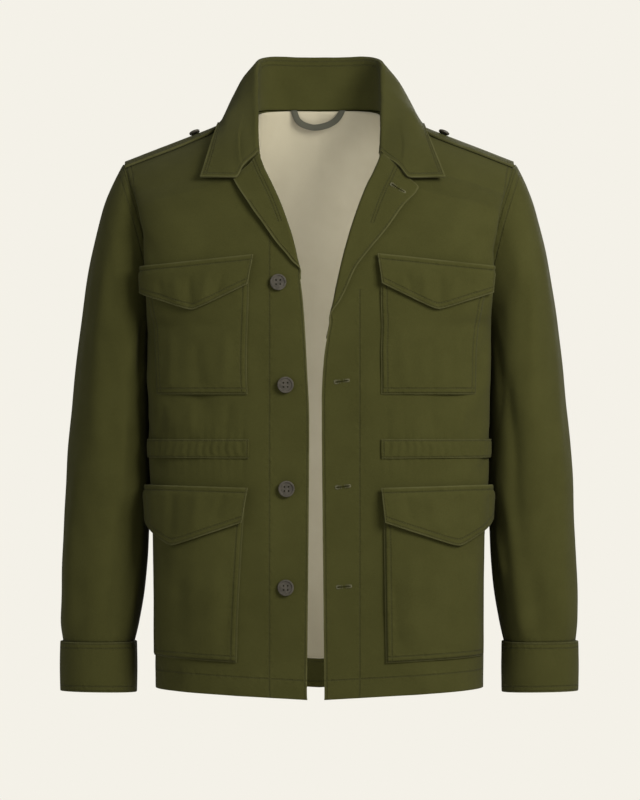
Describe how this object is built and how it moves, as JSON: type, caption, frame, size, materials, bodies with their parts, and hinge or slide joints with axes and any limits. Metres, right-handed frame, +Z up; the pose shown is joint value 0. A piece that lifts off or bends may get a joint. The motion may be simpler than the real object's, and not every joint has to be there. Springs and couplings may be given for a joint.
{
  "type": "field jacket",
  "caption": "Olive cotton-twill field jacket in a hollow worn form, front open: spread collar, shoulder straps, flapped chest and hip pockets, waist channel, beige back lining and hanger loop.",
  "frame": {"origin": "middle of the back neck seam, where the jacket hangs from the wearer's neck and shoulders", "axes": "+X towards the wearer's left, +Y to the wearer's back (the front faces -Y), +Z up"},
  "size_m": [0.6598, 0.2595, 0.8202],
  "materials": {
    "olive_twill": "matte twill",
    "olive_facing": "matte twill",
    "beige_lining": "smooth matte lining",
    "loop_tape": "woven tape",
    "button_plastic": "satin, moulded with a rim"
  },
  "bodies": {
    "root": {"front_right": "olive_twill", "front_left": "olive_twill", "back": "olive_twill", "lining_back": "beige_lining", "hem_facing": "olive_facing", "collar": "olive_twill", "hanger_loop": "loop_tape", "sleeve_right": "olive_twill", "cuff_right": "olive_twill", "chest_pocket_right": "olive_twill", "chest_flap_right": "olive_twill", "hip_pocket_right": "olive_twill", "hip_flap_right": "olive_twill", "waist_channel_right": "olive_twill", "strap_right": "olive_twill", "lapel_facing_right": "olive_facing", "strap_button_right": "button_plastic", "sleeve_left": "olive_twill", "cuff_left": "olive_twill", "chest_pocket_left": "olive_twill", "chest_flap_left": "olive_twill", "hip_pocket_left": "olive_twill", "hip_flap_left": "olive_twill", "waist_channel_left": "olive_twill", "strap_left": "olive_twill", "lapel_facing_left": "olive_facing", "strap_button_left": "button_plastic", "button_1": "button_plastic", "button_2": "button_plastic", "button_3": "button_plastic", "button_4": "button_plastic"}
  },
  "joints": []
}
